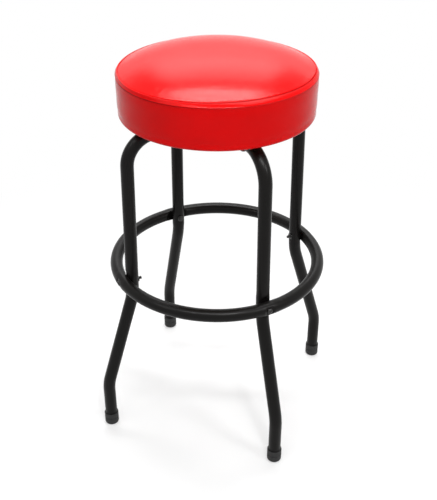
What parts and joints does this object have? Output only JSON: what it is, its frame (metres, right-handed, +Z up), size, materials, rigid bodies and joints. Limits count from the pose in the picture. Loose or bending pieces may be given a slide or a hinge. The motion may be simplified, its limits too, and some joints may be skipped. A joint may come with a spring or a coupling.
{
  "type": "swivel stool",
  "caption": "Round padded swivel seat on a ball swivel, carried by bent tube legs with a bolted foot ring and rubber foot caps.",
  "frame": {"origin": "on the floor, under the middle of the seat", "axes": "+Z up; -Y towards the front, with the legs at the four diagonals"},
  "size_m": [0.4202, 0.4202, 0.7564],
  "materials": {
    "vinyl": "satin",
    "foam": "matte",
    "plywood": "matte",
    "frame_coat": "satin",
    "plate_coat": "satin",
    "fastener_coat": "satin",
    "zinc_steel": "satin",
    "ball_steel": "polished",
    "cap_rubber": "matte"
  },
  "bodies": {
    "base": {"swivel_lower_plate": "plate_coat", "swivel_rivet": "zinc_steel", "foot_ring": "frame_coat", "leg_front_right": "frame_coat", "leg_back_right": "frame_coat", "leg_back_left": "frame_coat", "leg_front_left": "frame_coat", "foot_cap_front_right": "cap_rubber", "foot_cap_back_right": "cap_rubber", "foot_cap_back_left": "cap_rubber", "foot_cap_front_left": "cap_rubber", "leg_bolt_front_right_inner": "fastener_coat", "leg_bolt_front_right_outer": "fastener_coat", "leg_bolt_back_right_inner": "fastener_coat", "leg_bolt_back_right_outer": "fastener_coat", "leg_bolt_back_left_inner": "fastener_coat", "leg_bolt_back_left_outer": "fastener_coat", "leg_bolt_front_left_inner": "fastener_coat", "leg_bolt_front_left_outer": "fastener_coat", "ring_bolt_front_right": "fastener_coat", "ring_bolt_back_right": "fastener_coat", "ring_bolt_back_left": "fastener_coat", "ring_bolt_front_left": "fastener_coat", "ring_nut_front_right": "fastener_coat", "ring_nut_back_right": "fastener_coat", "ring_nut_back_left": "fastener_coat", "ring_nut_front_left": "fastener_coat"},
    "seat": {"seat_cover": "vinyl", "seat_foam": "foam", "seat_board": "plywood", "swivel_upper_plate": "plate_coat", "seat_screw_1": "zinc_steel", "seat_screw_2": "zinc_steel", "seat_screw_3": "zinc_steel", "seat_screw_4": "zinc_steel"},
    "bearing": {"bearing_cage": "zinc_steel", "bearing_ball_1": "ball_steel", "bearing_ball_2": "ball_steel", "bearing_ball_3": "ball_steel", "bearing_ball_4": "ball_steel", "bearing_ball_5": "ball_steel", "bearing_ball_6": "ball_steel", "bearing_ball_7": "ball_steel", "bearing_ball_8": "ball_steel", "bearing_ball_9": "ball_steel", "bearing_ball_10": "ball_steel", "bearing_ball_11": "ball_steel", "bearing_ball_12": "ball_steel"}
  },
  "joints": [
    {"name": "seat_swivel", "type": "hinge", "parent": "base", "child": "seat", "pos_m": [0, 0, 0.6425], "axis": [0, 0, 1], "continuous": true},
    {"name": "bearing_roll", "type": "hinge", "parent": "base", "child": "bearing", "pos_m": [0, 0, 0.6425], "axis": [0, 0, 1], "continuous": true}
  ],
  "couplings": [
    {"joint": "bearing_roll", "follows": "seat_swivel", "ratio": 0.5}
  ]
}
